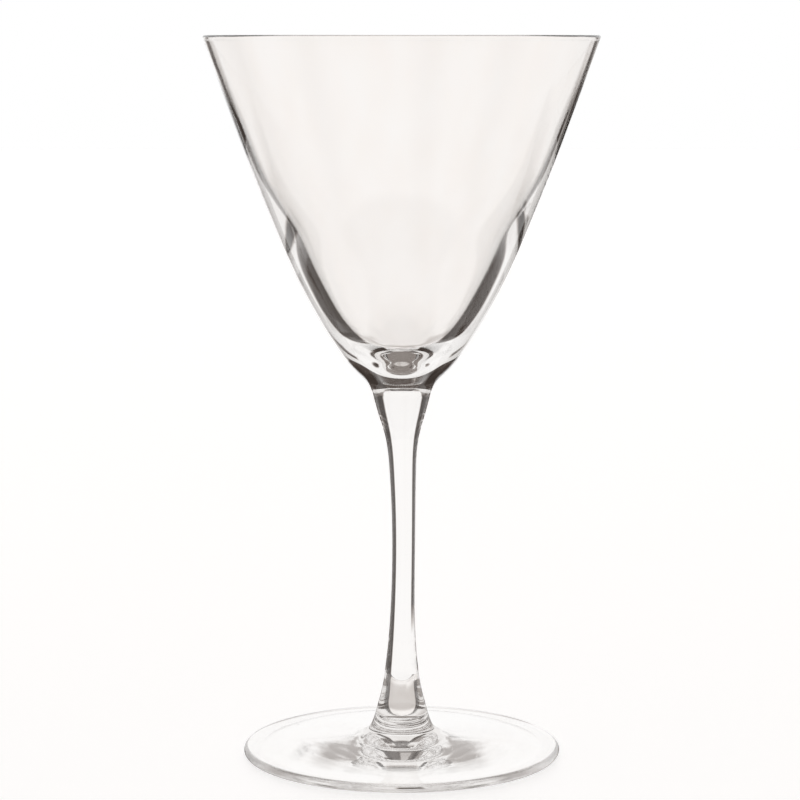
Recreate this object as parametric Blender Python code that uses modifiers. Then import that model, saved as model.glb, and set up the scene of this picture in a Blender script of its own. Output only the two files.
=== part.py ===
"""Martini glass: a blown bowl, a drawn stem and a spun foot, fused end to end.

Units are metres, +Z is up, and the origin is the centre of the circle that
the foot rests on. Each piece is one turned solid on the Z axis.
"""

import math

import bpy
from mathutils import Vector

MM = 0.001

# Driving dimensions, in millimetres
HEIGHT = 194.0
RIM_RADIUS = 52.5
FOOT_RADIUS = 43.0
BOWL_SEAM = 98.7  # height of the fused seam between bowl and stem
FOOT_SEAM = 20.6  # height of the fused seam between stem and foot post
SEAM_GAP = 0.3  # clearance between two fused pieces' end faces

# Bowl: thin at the fire-polished rim, solid under the cup
RIM_WALL = 1.2
CUP_DEPTH = 86.8
BOWL_SEAM_RADIUS = 7.8

# Stem: a drawn rod, slimmest just below its middle
WAIST_RADIUS = 3.15

# Foot: a conical disc with a full round edge and a hollow underside
POST_RADIUS = 4.8  # at the fused seam
POST_BASE_RADIUS = 8.9  # where the post runs out into the disc
EDGE_THICKNESS = 2.4
CONTACT_INNER = 38.4  # the flat ring that the glass stands on
CONTACT_OUTER = 40.4
HOLLOW_RISE = 2.0  # height of the hollow underside at the centre

SIDES = 64
ARC_STEPS = 6
SPAN_STEPS = 2
SHARP_ANGLE = math.radians(40)

# Outlines are (radius, height) points in millimetres that a smooth curve passes through
RIM_CENTRE = (RIM_RADIUS - RIM_WALL / 2, HEIGHT - RIM_WALL / 2)
CUP_BOTTOM = HEIGHT - CUP_DEPTH
CUP_SIDE = [
    (0.0, CUP_BOTTOM),
    (4.5, CUP_BOTTOM + 1.3),
    (7.5, 110.9),
    (10.5, 113.0),
    (15.4, 118.3),
    (19.7, 125.0),
    (23.7, 132.0),
    (27.8, 139.5),
    (32.0, 147.0),
    (36.1, 155.0),
    (40.9, 166.0),
    (46.5, 180.0),
    (RIM_RADIUS - RIM_WALL, RIM_CENTRE[1]),
]
BOWL_SIDE = [
    (RIM_RADIUS, RIM_CENTRE[1]),
    (46.3, 176.0),
    (40.4, 160.0),
    (34.6, 145.4),
    (29.0, 132.2),
    (22.3, 119.3),
    (16.8, 110.5),
    (12.0, 104.6),
    (9.0, 101.4),
    (BOWL_SEAM_RADIUS, BOWL_SEAM),
]
STEM_SIDE = [
    (BOWL_SEAM_RADIUS, BOWL_SEAM),
    (6.4, 93.4),
    (4.6, 87.2),
    (3.6, 78.0),
    (WAIST_RADIUS, 62.0),
    (WAIST_RADIUS, 46.0),
    (3.8, 30.0),
    (POST_RADIUS, FOOT_SEAM),
]
FOOT_SIDE = [
    (POST_RADIUS, FOOT_SEAM),
    (5.5, 17.2),
    (6.5, 13.4),
    (7.3, 10.4),
    (8.3, 7.8),
    (POST_BASE_RADIUS, 6.9),
    (9.9, 6.4),
    (14.0, 5.6),
    (24.0, 4.3),
    (FOOT_RADIUS - EDGE_THICKNESS / 2, EDGE_THICKNESS),
]


def smooth_through(points, start=None, end=None):
    """Catmull-Rom curve through the points, with optional unit directions at its two ends."""
    knots = [Vector(point) for point in points]
    curve = [knots[0]]
    for i in range(len(knots) - 1):
        a = knots[i]
        b = knots[i + 1]
        length = (b - a).length
        if i > 0:
            leave = (b - knots[i - 1]).normalized()
        else:
            leave = Vector(start) if start else (b - a).normalized()
        if i < len(knots) - 2:
            arrive = (knots[i + 2] - a).normalized()
        else:
            arrive = Vector(end) if end else (b - a).normalized()
        for step in range(1, SPAN_STEPS + 1):
            t = step / SPAN_STEPS
            toward_a = (1 + 2 * t) * (1 - t) ** 2
            toward_b = t * t * (3 - 2 * t)
            tangents = leave * (t * (1 - t) ** 2) - arrive * (t * t * (1 - t))
            curve.append(a * toward_a + b * toward_b + tangents * length)
    return curve


def arc(centre, radius, first_degrees, last_degrees):
    """Points of a circular arc between two directions, ends included."""
    points = []
    for step in range(ARC_STEPS + 1):
        share = step / ARC_STEPS
        angle = math.radians(first_degrees + (last_degrees - first_degrees) * share)
        points.append(Vector((centre[0] + radius * math.cos(angle), centre[1] + radius * math.sin(angle))))
    return points


def glass_material(name, tint):
    material = bpy.data.materials.new(name)
    material.use_nodes = True
    shader = material.node_tree.nodes["Principled BSDF"]
    shader.inputs["Base Color"].default_value = (*tint, 1.0)
    shader.inputs["Roughness"].default_value = 0.02
    shader.inputs["Metallic"].default_value = 0.0
    shader.inputs["IOR"].default_value = 1.52
    shader.inputs["Transmission Weight"].default_value = 1.0
    material.diffuse_color = (*tint, 0.4)
    return material


def turned_solid(name, outline, material, collection):
    """Turn a closed outline about the Z axis with a Screw modifier."""
    mesh = bpy.data.meshes.new(name)
    vertices = [(point[0] * MM, 0.0, point[1] * MM) for point in outline]
    edges = [(i, i + 1) for i in range(len(vertices) - 1)]
    mesh.from_pydata(vertices, edges, [])
    mesh.materials.append(material)
    obj = bpy.data.objects.new(name, mesh)
    collection.objects.link(obj)
    screw = obj.modifiers.new("Turn", "SCREW")
    screw.axis = "Z"
    screw.steps = SIDES
    screw.render_steps = SIDES
    screw.use_merge_vertices = True
    screw.merge_threshold = 0.00001
    screw.use_smooth_shade = True
    soften_shading(obj)
    return obj


def soften_shading(obj):
    """Apply the turn and keep only the rims of flat faces sharp."""
    depsgraph = bpy.context.evaluated_depsgraph_get()
    turned = bpy.data.meshes.new_from_object(obj.evaluated_get(depsgraph))
    turned.name = obj.name
    turned.shade_smooth()
    turned.set_sharp_from_angle(angle=SHARP_ANGLE)
    obj.modifiers.clear()
    obj.data = turned


def bowl_outline():
    """From the bottom of the cup, up its wall, over the rim and down to the seam face."""
    outline = smooth_through(CUP_SIDE, start=(1.0, 0.0))
    outline += arc(RIM_CENTRE, RIM_WALL / 2, 180, 0)[1:]
    outline += smooth_through(BOWL_SIDE)[1:]
    outline.append(Vector((0.0, BOWL_SEAM)))
    return outline


def stem_outline():
    """The rod between its two end faces, each set back from its seam by the gap."""
    side = smooth_through(STEM_SIDE)
    side[0].y -= SEAM_GAP
    side[-1].y += SEAM_GAP
    return [Vector((0.0, side[0].y))] + side + [Vector((0.0, side[-1].y))]


def foot_outline():
    """From the post's seam face, over the disc, round its edge and along its hollow underside."""
    edge_radius = EDGE_THICKNESS / 2
    edge_centre = (FOOT_RADIUS - edge_radius, edge_radius)
    outline = [Vector((0.0, FOOT_SEAM))]
    outline += smooth_through(FOOT_SIDE, end=(1.0, 0.0))
    outline += arc(edge_centre, edge_radius, 90, -90)[1:]
    outline.append(Vector((CONTACT_OUTER, 0.0)))
    outline.append(Vector((CONTACT_INNER, 0.0)))
    outline += hollow_underside()
    return outline


def hollow_underside():
    """A shallow parabolic dome from the contact ring in to the axis."""
    points = []
    rings = 6
    for ring in range(1, rings + 1):
        radius = CONTACT_INNER * (1 - ring / rings)
        rise = HOLLOW_RISE * (1 - (radius / CONTACT_INNER) ** 2)
        points.append(Vector((radius, rise)))
    return points


for old in list(bpy.data.objects):
    bpy.data.objects.remove(old, do_unlink=True)

glass = bpy.data.collections.new("martini_glass")
bpy.context.scene.collection.children.link(glass)

turned_solid("bowl", bowl_outline(), glass_material("bowl_glass", (0.96, 0.95, 0.94)), glass)
turned_solid("stem", stem_outline(), glass_material("stem_glass", (0.92, 0.91, 0.90)), glass)
turned_solid("foot", foot_outline(), glass_material("foot_glass", (0.94, 0.94, 0.93)), glass)
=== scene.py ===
"""Looks of the martini glass: the fused gathers of clear glass on a pale studio floor."""

import math

import bpy
import numpy as np
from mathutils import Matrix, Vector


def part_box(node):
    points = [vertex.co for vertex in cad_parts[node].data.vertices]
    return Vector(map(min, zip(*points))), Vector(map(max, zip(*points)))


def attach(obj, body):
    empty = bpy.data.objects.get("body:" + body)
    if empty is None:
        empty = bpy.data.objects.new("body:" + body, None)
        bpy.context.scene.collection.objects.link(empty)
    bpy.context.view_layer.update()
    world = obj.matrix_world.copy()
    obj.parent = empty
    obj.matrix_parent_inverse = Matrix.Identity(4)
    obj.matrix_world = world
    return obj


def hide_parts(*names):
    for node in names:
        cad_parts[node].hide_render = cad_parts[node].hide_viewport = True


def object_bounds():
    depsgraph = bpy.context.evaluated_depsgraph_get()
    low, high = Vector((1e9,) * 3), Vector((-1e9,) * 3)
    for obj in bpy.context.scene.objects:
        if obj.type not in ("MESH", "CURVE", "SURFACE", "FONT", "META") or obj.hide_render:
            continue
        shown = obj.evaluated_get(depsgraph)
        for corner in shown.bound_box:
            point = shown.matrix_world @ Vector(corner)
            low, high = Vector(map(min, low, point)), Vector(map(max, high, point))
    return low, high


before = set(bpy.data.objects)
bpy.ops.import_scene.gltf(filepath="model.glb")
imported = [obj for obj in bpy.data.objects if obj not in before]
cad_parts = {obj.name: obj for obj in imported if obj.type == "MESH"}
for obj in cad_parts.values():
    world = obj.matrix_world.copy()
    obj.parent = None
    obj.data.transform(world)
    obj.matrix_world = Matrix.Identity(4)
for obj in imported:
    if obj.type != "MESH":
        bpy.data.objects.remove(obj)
cad_low, cad_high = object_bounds()

MM = 0.001

# Driving dimensions, in millimetres, from the frame
HEIGHT = cad_high.z / MM
RIM_RADIUS = cad_high.x / MM
FOOT_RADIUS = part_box("foot")[1].x / MM
BOWL_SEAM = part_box("bowl")[0].z / MM
FOOT_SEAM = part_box("foot")[1].z / MM

# The same driving dimensions that the CAD model is built from
RIM_WALL = 1.2
CUP_BOTTOM = HEIGHT - 86.8
BOWL_SEAM_RADIUS = 7.8
WAIST_RADIUS = 3.15
POST_RADIUS = 4.8
POST_BASE_RADIUS = 8.9
EDGE_THICKNESS = 2.4
CONTACT_INNER = 38.4
CONTACT_OUTER = 40.4
HOLLOW_RISE = 2.0

STEM_BOW = 0.55  # sideways lean of the hand-drawn stem at mid height

SIDES = 192
PITCH = 0.8  # spacing of the rings along an outline
FOOT_PITCH = 0.5
ARC_STEPS = 16
HOLLOW_RINGS = 48
CAP_RINGS = 6
CREASE_ANGLE = 30  # degrees, above which an edge is shaded sharp
ON_AXIS = 1e-6  # a radius below this is a single point on the axis

RIM_CENTRE = (RIM_RADIUS - RIM_WALL / 2, HEIGHT - RIM_WALL / 2)
CUP_SIDE = [
    (0.0, CUP_BOTTOM),
    (4.5, CUP_BOTTOM + 1.3),
    (7.5, 110.9),
    (10.5, 113.0),
    (15.4, 118.3),
    (19.7, 125.0),
    (23.7, 132.0),
    (27.8, 139.5),
    (32.0, 147.0),
    (36.1, 155.0),
    (40.9, 166.0),
    (46.5, 180.0),
    (RIM_RADIUS - RIM_WALL, RIM_CENTRE[1]),
]
BOWL_SIDE = [
    (RIM_RADIUS, RIM_CENTRE[1]),
    (46.3, 176.0),
    (40.4, 160.0),
    (34.6, 145.4),
    (29.0, 132.2),
    (22.3, 119.3),
    (16.8, 110.5),
    (12.0, 104.6),
    (9.0, 101.4),
    (BOWL_SEAM_RADIUS, BOWL_SEAM),
]
STEM_SIDE = [
    (BOWL_SEAM_RADIUS, BOWL_SEAM),
    (6.4, 93.4),
    (4.6, 87.2),
    (3.6, 78.0),
    (WAIST_RADIUS, 62.0),
    (WAIST_RADIUS, 46.0),
    (3.8, 30.0),
    (POST_RADIUS, FOOT_SEAM),
]
FOOT_SIDE = [
    (POST_RADIUS, FOOT_SEAM),
    (5.5, 17.2),
    (6.5, 13.4),
    (7.3, 10.4),
    (8.3, 7.8),
    (POST_BASE_RADIUS, 6.9),
    (9.9, 6.4),
    (14.0, 5.6),
    (24.0, 4.3),
    (FOOT_RADIUS - EDGE_THICKNESS / 2, EDGE_THICKNESS),
]


# ---------------------------------------------------------------- outlines

def spline(points, start=None, end=None, pitch=PITCH):
    """A curve of continuous curvature through the points, with optional directions at its ends."""
    knots = np.array(points, float)
    chord = np.linalg.norm(np.diff(knots, axis=0), axis=1)
    place = np.concatenate(([0.0], np.cumsum(chord)))
    count = len(knots)
    system = np.zeros((count, count))
    right = np.zeros((count, 2))
    for i in range(1, count - 1):
        system[i, i - 1] = chord[i]
        system[i, i] = 2 * (chord[i - 1] + chord[i])
        system[i, i + 1] = chord[i - 1]
        before = (knots[i] - knots[i - 1]) / chord[i - 1]
        after = (knots[i + 1] - knots[i]) / chord[i]
        right[i] = 3 * (chord[i] * before + chord[i - 1] * after)
    for row, inner, direction, side in ((0, 1, start, 0), (count - 1, count - 2, end, -1)):
        if direction is not None:
            system[row, row] = 1.0
            right[row] = direction
        else:
            system[row, row] = 2.0
            system[row, inner] = 1.0
            low = min(row, inner)
            right[row] = 3 * (knots[low + 1] - knots[low]) / chord[side]
    slope = np.linalg.solve(system, right)
    curve = [knots[0]]
    for i in range(count - 1):
        steps = max(2, math.ceil(chord[i] / pitch))
        for step in range(1, steps + 1):
            t = step / steps
            curve.append(
                knots[i] * (1 + 2 * t) * (1 - t) ** 2
                + knots[i + 1] * t * t * (3 - 2 * t)
                + slope[i] * chord[i] * t * (1 - t) ** 2
                - slope[i + 1] * chord[i] * t * t * (1 - t)
            )
    return np.array(curve)


def arc(centre, radius, first, last):
    """Points of a circular arc between two directions in degrees, ends included."""
    angles = np.radians(np.linspace(first, last, ARC_STEPS + 1))
    return np.column_stack((centre[0] + radius * np.cos(angles), centre[1] + radius * np.sin(angles)))


def disc(radius, height):
    """Rings of a flat end face, from its rim in to the axis."""
    radii = np.linspace(radius, 0.0, CAP_RINGS + 1)[1:]
    return np.column_stack((radii, np.full(CAP_RINGS, height)))


def bowl_outline():
    """From the bottom of the cup, up its wall, over the rim and down to the seam."""
    inside = spline(CUP_SIDE, start=(1.0, 0.0))
    rim = arc(RIM_CENTRE, RIM_WALL / 2, 180, 0)
    outside = spline(BOWL_SIDE)
    return np.vstack((inside, rim[1:], outside[1:]))


def stem_outline():
    """The side of the rod, from its upper seam down to its lower one."""
    return spline(STEM_SIDE)


def foot_outline():
    """From the post's seam, over the disc, round its edge and along its hollow underside."""
    edge_radius = EDGE_THICKNESS / 2
    top = spline(FOOT_SIDE, end=(1.0, 0.0), pitch=FOOT_PITCH)
    edge = arc((FOOT_RADIUS - edge_radius, edge_radius), edge_radius, 90, -90)
    ring = np.array([(CONTACT_OUTER, 0.0), (CONTACT_INNER, 0.0)])
    radii = np.linspace(CONTACT_INNER, 0.0, HOLLOW_RINGS + 1)[1:]
    hollow = np.column_stack((radii, HOLLOW_RISE * (1 - (radii / CONTACT_INNER) ** 2)))
    return np.vstack((top, edge[1:], ring, hollow))


# ---------------------------------------------------------------- turned pieces

def turn(name, outline, cap_start=False, cap_end=False):
    """Turn an outline about Z. Flat seam faces, in the second material slot, can close either end."""
    before = disc(*outline[0])[::-1] if cap_start else np.zeros((0, 2))
    after = disc(*outline[-1]) if cap_end else np.zeros((0, 2))
    whole = np.vstack((before, outline, after))
    angles = np.linspace(0, 2 * math.pi, SIDES, endpoint=False)
    vertices = []
    rings = []
    for radius, height in whole:
        if radius < ON_AXIS:
            rings.append([len(vertices)] * SIDES)
            vertices.append((0.0, 0.0, height))
        else:
            rings.append([len(vertices) + i for i in range(SIDES)])
            vertices += [(radius * math.cos(a), radius * math.sin(a), height) for a in angles]
    faces = []
    slots = []
    for k in range(len(rings) - 1):
        upper = rings[k]
        lower = rings[k + 1]
        is_cap = k < len(before) or k >= len(whole) - 1 - len(after)
        for i in range(SIDES):
            j = (i + 1) % SIDES
            corners = [upper[i], lower[i], lower[j], upper[j]]
            faces.append(list(dict.fromkeys(corners)))
            slots.append(1 if is_cap else 0)
    mesh = bpy.data.meshes.new(name)
    mesh.from_pydata([[c * MM for c in v] for v in vertices], [], faces)
    mesh.polygons.foreach_set("material_index", slots)
    mesh.shade_smooth()
    mesh.set_sharp_from_angle(angle=math.radians(CREASE_ANGLE))
    obj = bpy.data.objects.new(name, mesh)
    bpy.context.scene.collection.objects.link(obj)
    return obj


def bow(obj, low, high, sideways):
    """Lean a drawn rod a little to one side between its two ends, which stay in place."""
    for vertex in obj.data.vertices:
        share = (vertex.co.z / MM - low) / (high - low)
        vertex.co.x += sideways * MM * math.sin(math.pi * min(max(share, 0.0), 1.0)) ** 2


# ---------------------------------------------------------------- materials

GLASS_TINT = (0.985, 0.970, 0.958)
GLASS_IOR = 1.52
CORD_STRENGTH = 1.6  # power that turns the tint into the deeper one of the cords

# Heights of the unevenness that each way of making leaves, in millimetres
BLOWN_HEIGHT = 0.009
DRAWN_HEIGHT = 0.0016
SPUN_HEIGHT = 0.007

# Seeds are tiny trapped bubbles, which show as pits
SEED_CELLS = 90.0  # cells per metre, with at most one seed in each
SEED_SIZE = 0.035  # radius of a seed, in cells
SEED_HEIGHT = 0.05

WORN_HEIGHT = 0.15  # millimetres above the table up to which the glass is scratched
WORN_ROUGHNESS = 0.14

# Sockets of a colour Mix node, which share their names with its other kinds
MIX_FACTOR = 0
MIX_COLOURS = (6, 7)
MIX_RESULT = 2


class Nodes:
    """Short calls for building a node tree. An underscore in a keyword stands for a space."""

    def __init__(self, tree):
        self.tree = tree
        tree.nodes.clear()

    def add(self, kind, settings=None, **inputs):
        node = self.tree.nodes.new(kind)
        for key, value in (settings or {}).items():
            setattr(node, key, value)
        for key, value in inputs.items():
            self.feed(node.inputs[key.replace("_", " ")], value)
        return node

    def feed(self, socket, value):
        if isinstance(value, bpy.types.NodeSocket):
            self.tree.links.new(value, socket)
        else:
            socket.default_value = value

    def math(self, operation, *values):
        node = self.tree.nodes.new("ShaderNodeMath")
        node.operation = operation
        for socket, value in zip(node.inputs, values):
            self.feed(socket, value)
        return node.outputs[0]

    def join(self, shader, target, socket):
        self.tree.links.new(shader.outputs[0], target.inputs[socket])


def grain(nodes, place, across, along, detail=2.0):
    """Noise whose lumps are `across` millimetres wide round the axis and `along` millimetres high."""
    stretch = (1 / (across * MM), 1 / (across * MM), 1 / (along * MM))
    stretched = nodes.add("ShaderNodeVectorMath", {"operation": "MULTIPLY"})
    nodes.feed(stretched.inputs[0], place)
    nodes.feed(stretched.inputs[1], stretch)
    noise = nodes.add("ShaderNodeTexNoise", Vector=stretched.outputs[0], Scale=1.0, Detail=detail)
    return noise.outputs[0]


def from_axis(nodes, place):
    """Distance from the Z axis, in millimetres."""
    flat = nodes.add("ShaderNodeVectorMath", {"operation": "MULTIPLY"})
    nodes.feed(flat.inputs[0], place)
    nodes.feed(flat.inputs[1], (1 / MM, 1 / MM, 0.0))
    length = nodes.add("ShaderNodeVectorMath", {"operation": "LENGTH"})
    nodes.feed(length.inputs[0], flat.outputs[0])
    return length.outputs["Value"]


def blown(nodes, place):
    """Broad soft waves in the wall, and the fainter bands that the turning mould leaves round it."""
    waves = grain(nodes, place, 14.0, 22.0)
    bands = grain(nodes, place, 120.0, 5.0)
    return nodes.math("MULTIPLY_ADD", bands, 0.35, waves), BLOWN_HEIGHT * MM


def drawn(nodes, place):
    """Fine lines along the rod, and the slow swelling of a hand-drawn stem."""
    lines = grain(nodes, place, 1.1, 40.0)
    swelling = grain(nodes, place, 9.0, 9.0)
    return nodes.math("MULTIPLY_ADD", swelling, 3.0, lines), DRAWN_HEIGHT * MM


def spun(nodes, place):
    """Rings of a foot that was opened out while it turned, broken by broad soft waves."""
    rings = nodes.add("ShaderNodeTexNoise", {"noise_dimensions": "1D"}, Scale=0.32, Detail=3.0)
    nodes.feed(rings.inputs["W"], from_axis(nodes, place))
    waves = grain(nodes, place, 11.0, 11.0)
    return nodes.math("MULTIPLY_ADD", waves, 0.8, rings.outputs[0]), SPUN_HEIGHT * MM


def glass(name, making):
    """Clear glass with the surface that its making leaves, faint cords of deeper tint and a few seeds."""
    material = bpy.data.materials.new(name)
    material.use_nodes = True
    nodes = Nodes(material.node_tree)
    place = nodes.add("ShaderNodeTexCoord").outputs["Object"]

    cords = grain(nodes, place, 8.0, 30.0, detail=4.0)
    deepen = nodes.add("ShaderNodeMapRange", Value=cords, From_Min=0.35, From_Max=0.7).outputs[0]
    colour = nodes.add("ShaderNodeMix", {"data_type": "RGBA"})
    nodes.feed(colour.inputs[MIX_FACTOR], deepen)
    nodes.feed(colour.inputs[MIX_COLOURS[0]], (*GLASS_TINT, 1.0))
    nodes.feed(colour.inputs[MIX_COLOURS[1]], (*(c ** CORD_STRENGTH for c in GLASS_TINT), 1.0))

    relief, relief_height = making(nodes, place)
    surface = nodes.add("ShaderNodeBump", Strength=1.0, Distance=relief_height, Height=relief)
    cells = nodes.add("ShaderNodeTexVoronoi", Vector=place, Scale=SEED_CELLS).outputs["Distance"]
    seed = nodes.add(
        "ShaderNodeMapRange",
        {"interpolation_type": "SMOOTHSTEP"},
        Value=cells,
        From_Max=SEED_SIZE,
        To_Min=1.0,
        To_Max=0.0,
    )
    pitted = nodes.add(
        "ShaderNodeBump",
        Strength=1.0,
        Distance=SEED_HEIGHT * MM,
        Height=seed.outputs[0],
        Normal=surface.outputs[0],
    )

    # the ring that stands on the table is dulled by fine scratches
    level = nodes.add("ShaderNodeSeparateXYZ", Vector=place).outputs["Z"]
    low = nodes.add("ShaderNodeMapRange", Value=level, From_Min=WORN_HEIGHT * MM, From_Max=0.0).outputs[0]
    scratches = grain(nodes, place, 0.7, 0.7)
    patchy = nodes.add("ShaderNodeMapRange", Value=scratches, From_Min=0.35, From_Max=0.65).outputs[0]
    worn = nodes.math("MULTIPLY", nodes.math("MULTIPLY", low, patchy), WORN_ROUGHNESS)

    shader = nodes.add(
        "ShaderNodeBsdfPrincipled",
        Base_Color=colour.outputs[MIX_RESULT],
        Roughness=worn,
        IOR=GLASS_IOR,
        Normal=pitted.outputs[0],
    )
    shader.inputs["Transmission Weight"].default_value = 1.0
    nodes.join(shader, nodes.add("ShaderNodeOutputMaterial"), "Surface")
    return material


def fused_face():
    """The weld between two gathers, where light passes as through one piece."""
    material = bpy.data.materials.new("fused_face")
    material.use_nodes = True
    nodes = Nodes(material.node_tree)
    shader = nodes.add("ShaderNodeBsdfTransparent")
    nodes.join(shader, nodes.add("ShaderNodeOutputMaterial"), "Surface")
    return material


# ---------------------------------------------------------------- build

fused = fused_face()
pieces = {
    "bowl": turn("bowl_glass", bowl_outline(), cap_end=True),
    "stem": turn("stem_glass", stem_outline(), cap_start=True, cap_end=True),
    "foot": turn("foot_glass", foot_outline(), cap_start=True),
}
bow(pieces["stem"], FOOT_SEAM, BOWL_SEAM, STEM_BOW)
making = {"bowl": blown, "stem": drawn, "foot": spun}
for node, piece in pieces.items():
    piece.data.materials.append(glass(node + "_glass", making[node]))
    piece.data.materials.append(fused)
    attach(piece, "root")
    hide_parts(node)

# ---------------------------------------------------------------- stage

# Cards of the studio, each laid over the ones before it. They are given in degrees: middle
# and half width in azimuth, low and high elevation, then the brightness and the blur of the edges.
FAINT_CARDS = [
    (297, 9, -50, -12, 0.55, 14),
    (243, 8, -50, -12, 0.55, 14),
    (71, 9, -50, -12, 0.55, 14),
    (19, 9, -50, -12, 0.55, 14),
]
SIDE_FLAGS = [
    (139, 21, -50, -24, 0.05, 4),
    (217, 18, -50, -24, 0.05, 4),
    (153, 7, -50, -10, 0.05, 4),
    (205.5, 8.5, -50, -10, 0.05, 4),
    (161, 7, -12, -3, 0.05, 4),
    (203, 6, -12, -4, 0.05, 4),
]
DIM_ABOVE_AND_BELOW = [
    (180, 190, -91, -27, 0.27, 4),
    (180, 190, 40, 91, 0.1, 4),
    (130, 19, 27, 75, 0.04, 4),
    (235, 22, 27, 75, 0.04, 4),
    (189, 12, 50, 64, 0.5, 4),
]
# Each setting is met by light that the glass has mirrored at least so many times.
# It has a level, the brightness between the cards, and its cards.
SETTINGS = [
    # seen straight through the glass: pale walls with dark gaps between them
    (0, 0.04, [
        (180, 190, 20, 91, 0.2, 4),
        (182, 33, -91, 40, 1.0, 4),
        (182, 33, -47, -33, 0.6, 6),
        (277, 25, -16, 14, 1.0, 4),
        (45, 33, -25, 8, 1.0, 4),
        (225, 33, -36, -15, 1.0, 4),
    ]),
    # mirrored once: a pale room with black flags at the sides and overhead
    (1, 0.86, [
        *FAINT_CARDS,
        (180, 190, -91, -60, 0.25, 4),
        (180, 20, -56, 40, 1.0, 4),
        (180, 190, 64, 91, 0.08, 4),
        (130, 17, 35, 75, 0.06, 4),
        (230, 17, 35, 75, 0.06, 4),
        *SIDE_FLAGS,
    ]),
    # mirrored a few times: the same room, darker above and below
    (2, 0.86, [
        *DIM_ABOVE_AND_BELOW,
        *SIDE_FLAGS,
        (43, 14, 18, 36, 0.1, 4),
        (356, 16, -12, 16, 0.12, 4),
        (190, 14, 8, 24, 0.1, 4),
        (196, 12, -40, -20, 0.1, 4),
        (316, 14, 8, 26, 0.3, 4),
    ]),
    # led a long way round inside a wall: mostly pale
    (5, 0.9, [
        *DIM_ABOVE_AND_BELOW,
        (7, 7, -2, 17, 0.02, 4),
        (16, 10, -16, -1, 0.02, 4),
        (137, 7, -26, 24, 0.4, 6),
        (219, 7, -26, 24, 0.4, 6),
        (113, 9, 0, 30, 0.1, 4),
        (336, 16, -55, -30, 0.1, 4),
    ]),
]


# Dark cards are a little warmer than bright ones: powers of the brightness in green and blue
WARM_GREEN = 1.08
WARM_BLUE = 1.13

FLOOR_RADIUS = 4.0
FLOOR_DROP = 0.0001  # keeps the floor clear of the flat contact ring

SENSOR_WIDTH = 36.0
LENS = 124.0
CAMERA_PLACE = (-0.00045, -0.7337, 0.19425)
LOOK_DOWN = 7.566  # degrees

BOUNCES = 48  # light that is trapped in the wall runs round it many times before it comes out


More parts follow.
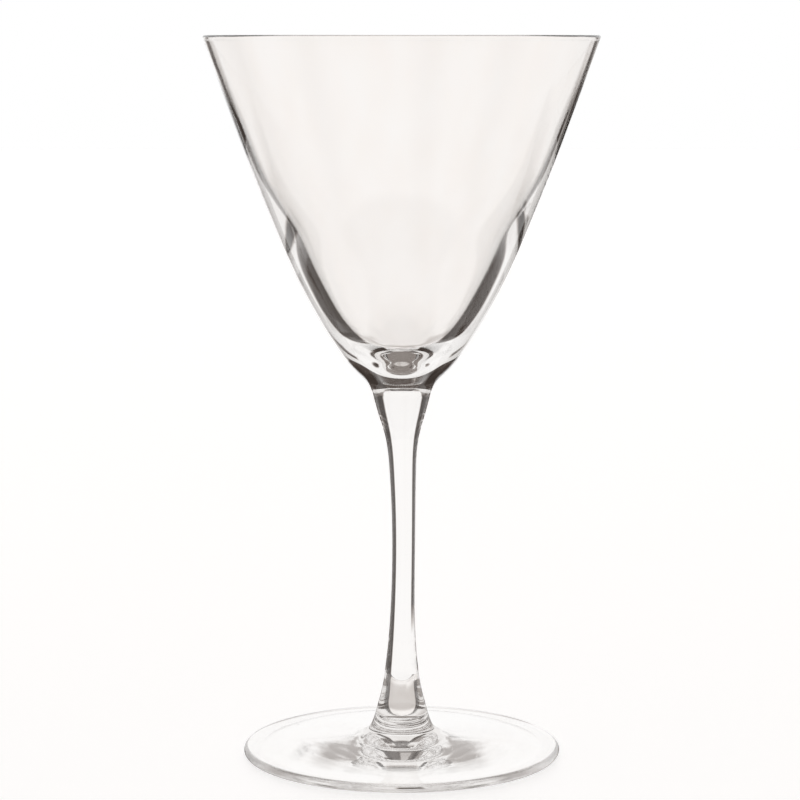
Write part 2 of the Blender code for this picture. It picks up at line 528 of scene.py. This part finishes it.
def studio_world():
    """Light from the cards. The camera itself sees plain white behind the glass."""
    world = bpy.data.worlds.new("studio")
    bpy.context.scene.world = world
    world.use_nodes = True
    nodes = Nodes(world.node_tree)
    place = nodes.add("ShaderNodeTexCoord")
    axes = nodes.add("ShaderNodeSeparateXYZ", Vector=place.outputs["Generated"])
    heading = nodes.math("ARCTAN2", axes.outputs["X"], nodes.math("MULTIPLY", axes.outputs["Y"], -1.0))
    azimuth = nodes.math("DEGREES", heading)
    elevation = nodes.math("DEGREES", nodes.math("ARCSINE", axes.outputs["Z"]))

    def lay(cards, level):
        """Brightness in a direction, with each card laid over what is there."""
        for middle, half, low, high, brightness, blur in cards:
            turned = nodes.math("WRAP", nodes.math("SUBTRACT", azimuth, middle), 180.0, -180.0)
            across = nodes.math("SUBTRACT", half, nodes.math("ABSOLUTE", turned))
            above = nodes.math("SUBTRACT", elevation, low)
            below = nodes.math("SUBTRACT", high, elevation)
            depth = nodes.math("MINIMUM", across, nodes.math("MINIMUM", above, below))
            cover = nodes.add(
                "ShaderNodeMapRange",
                Value=depth,
                From_Min=-blur / 2,
                From_Max=blur / 2,
            ).outputs[0]
            change = nodes.math("SUBTRACT", brightness, level)
            level = nodes.math("MULTIPLY_ADD", cover, change, level)
        return level

    light_path = nodes.add("ShaderNodeLightPath")
    mirrorings = light_path.outputs["Glossy Depth"]
    level = 0.0
    for fewest, base, cards in SETTINGS:
        chosen = nodes.math("GREATER_THAN", mirrorings, fewest - 0.5)
        change = nodes.math("SUBTRACT", lay(cards, base), level)
        level = nodes.math("MULTIPLY_ADD", chosen, change, level)
    warm = nodes.add(
        "ShaderNodeCombineColor",
        Red=level,
        Green=nodes.math("POWER", level, WARM_GREEN),
        Blue=nodes.math("POWER", level, WARM_BLUE),
    )
    lit = nodes.add("ShaderNodeBackground", Color=warm.outputs[0])
    seen = nodes.add("ShaderNodeBackground", Color=(1, 1, 1, 1))
    both = nodes.add("ShaderNodeMixShader", Fac=light_path.outputs["Is Camera Ray"])
    nodes.join(lit, both, 1)
    nodes.join(seen, both, 2)
    nodes.join(both, nodes.add("ShaderNodeOutputWorld"), "Surface")


def floor():
    """A plain pale floor, which is hidden from light that has passed through the glass."""
    bpy.ops.mesh.primitive_circle_add(
        vertices=96, radius=FLOOR_RADIUS, fill_type="NGON", location=(0, 0, -FLOOR_DROP)
    )
    obj = bpy.context.object
    obj.name = "studio_floor"
    material = bpy.data.materials.new("pale_floor")
    material.use_nodes = True
    nodes = Nodes(material.node_tree)
    shader = nodes.add("ShaderNodeBsdfPrincipled", Base_Color=(0.9, 0.9, 0.9, 1), Roughness=0.6)
    shader.inputs["Emission Color"].default_value = (1, 1, 1, 1)
    shader.inputs["Emission Strength"].default_value = 0.7
    nodes.join(shader, nodes.add("ShaderNodeOutputMaterial"), "Surface")
    obj.data.materials.append(material)
    obj.visible_transmission = False
    obj.visible_glossy = False


def camera():
    """The photographer's place: level with the rim, and looking a little down."""
    data = bpy.data.cameras.new("camera")
    obj = bpy.data.objects.new("camera", data)
    bpy.context.scene.collection.objects.link(obj)
    data.sensor_width = SENSOR_WIDTH
    data.lens = LENS
    obj.location = CAMERA_PLACE
    obj.rotation_euler = (math.radians(90 - LOOK_DOWN), 0, 0)
    bpy.context.scene.camera = obj


studio_world()
floor()
camera()
bpy.context.scene.view_settings.view_transform = "Standard"
bpy.context.scene.cycles.max_bounces = BOUNCES
bpy.context.scene.cycles.transmission_bounces = BOUNCES
bpy.context.scene.cycles.glossy_bounces = BOUNCES
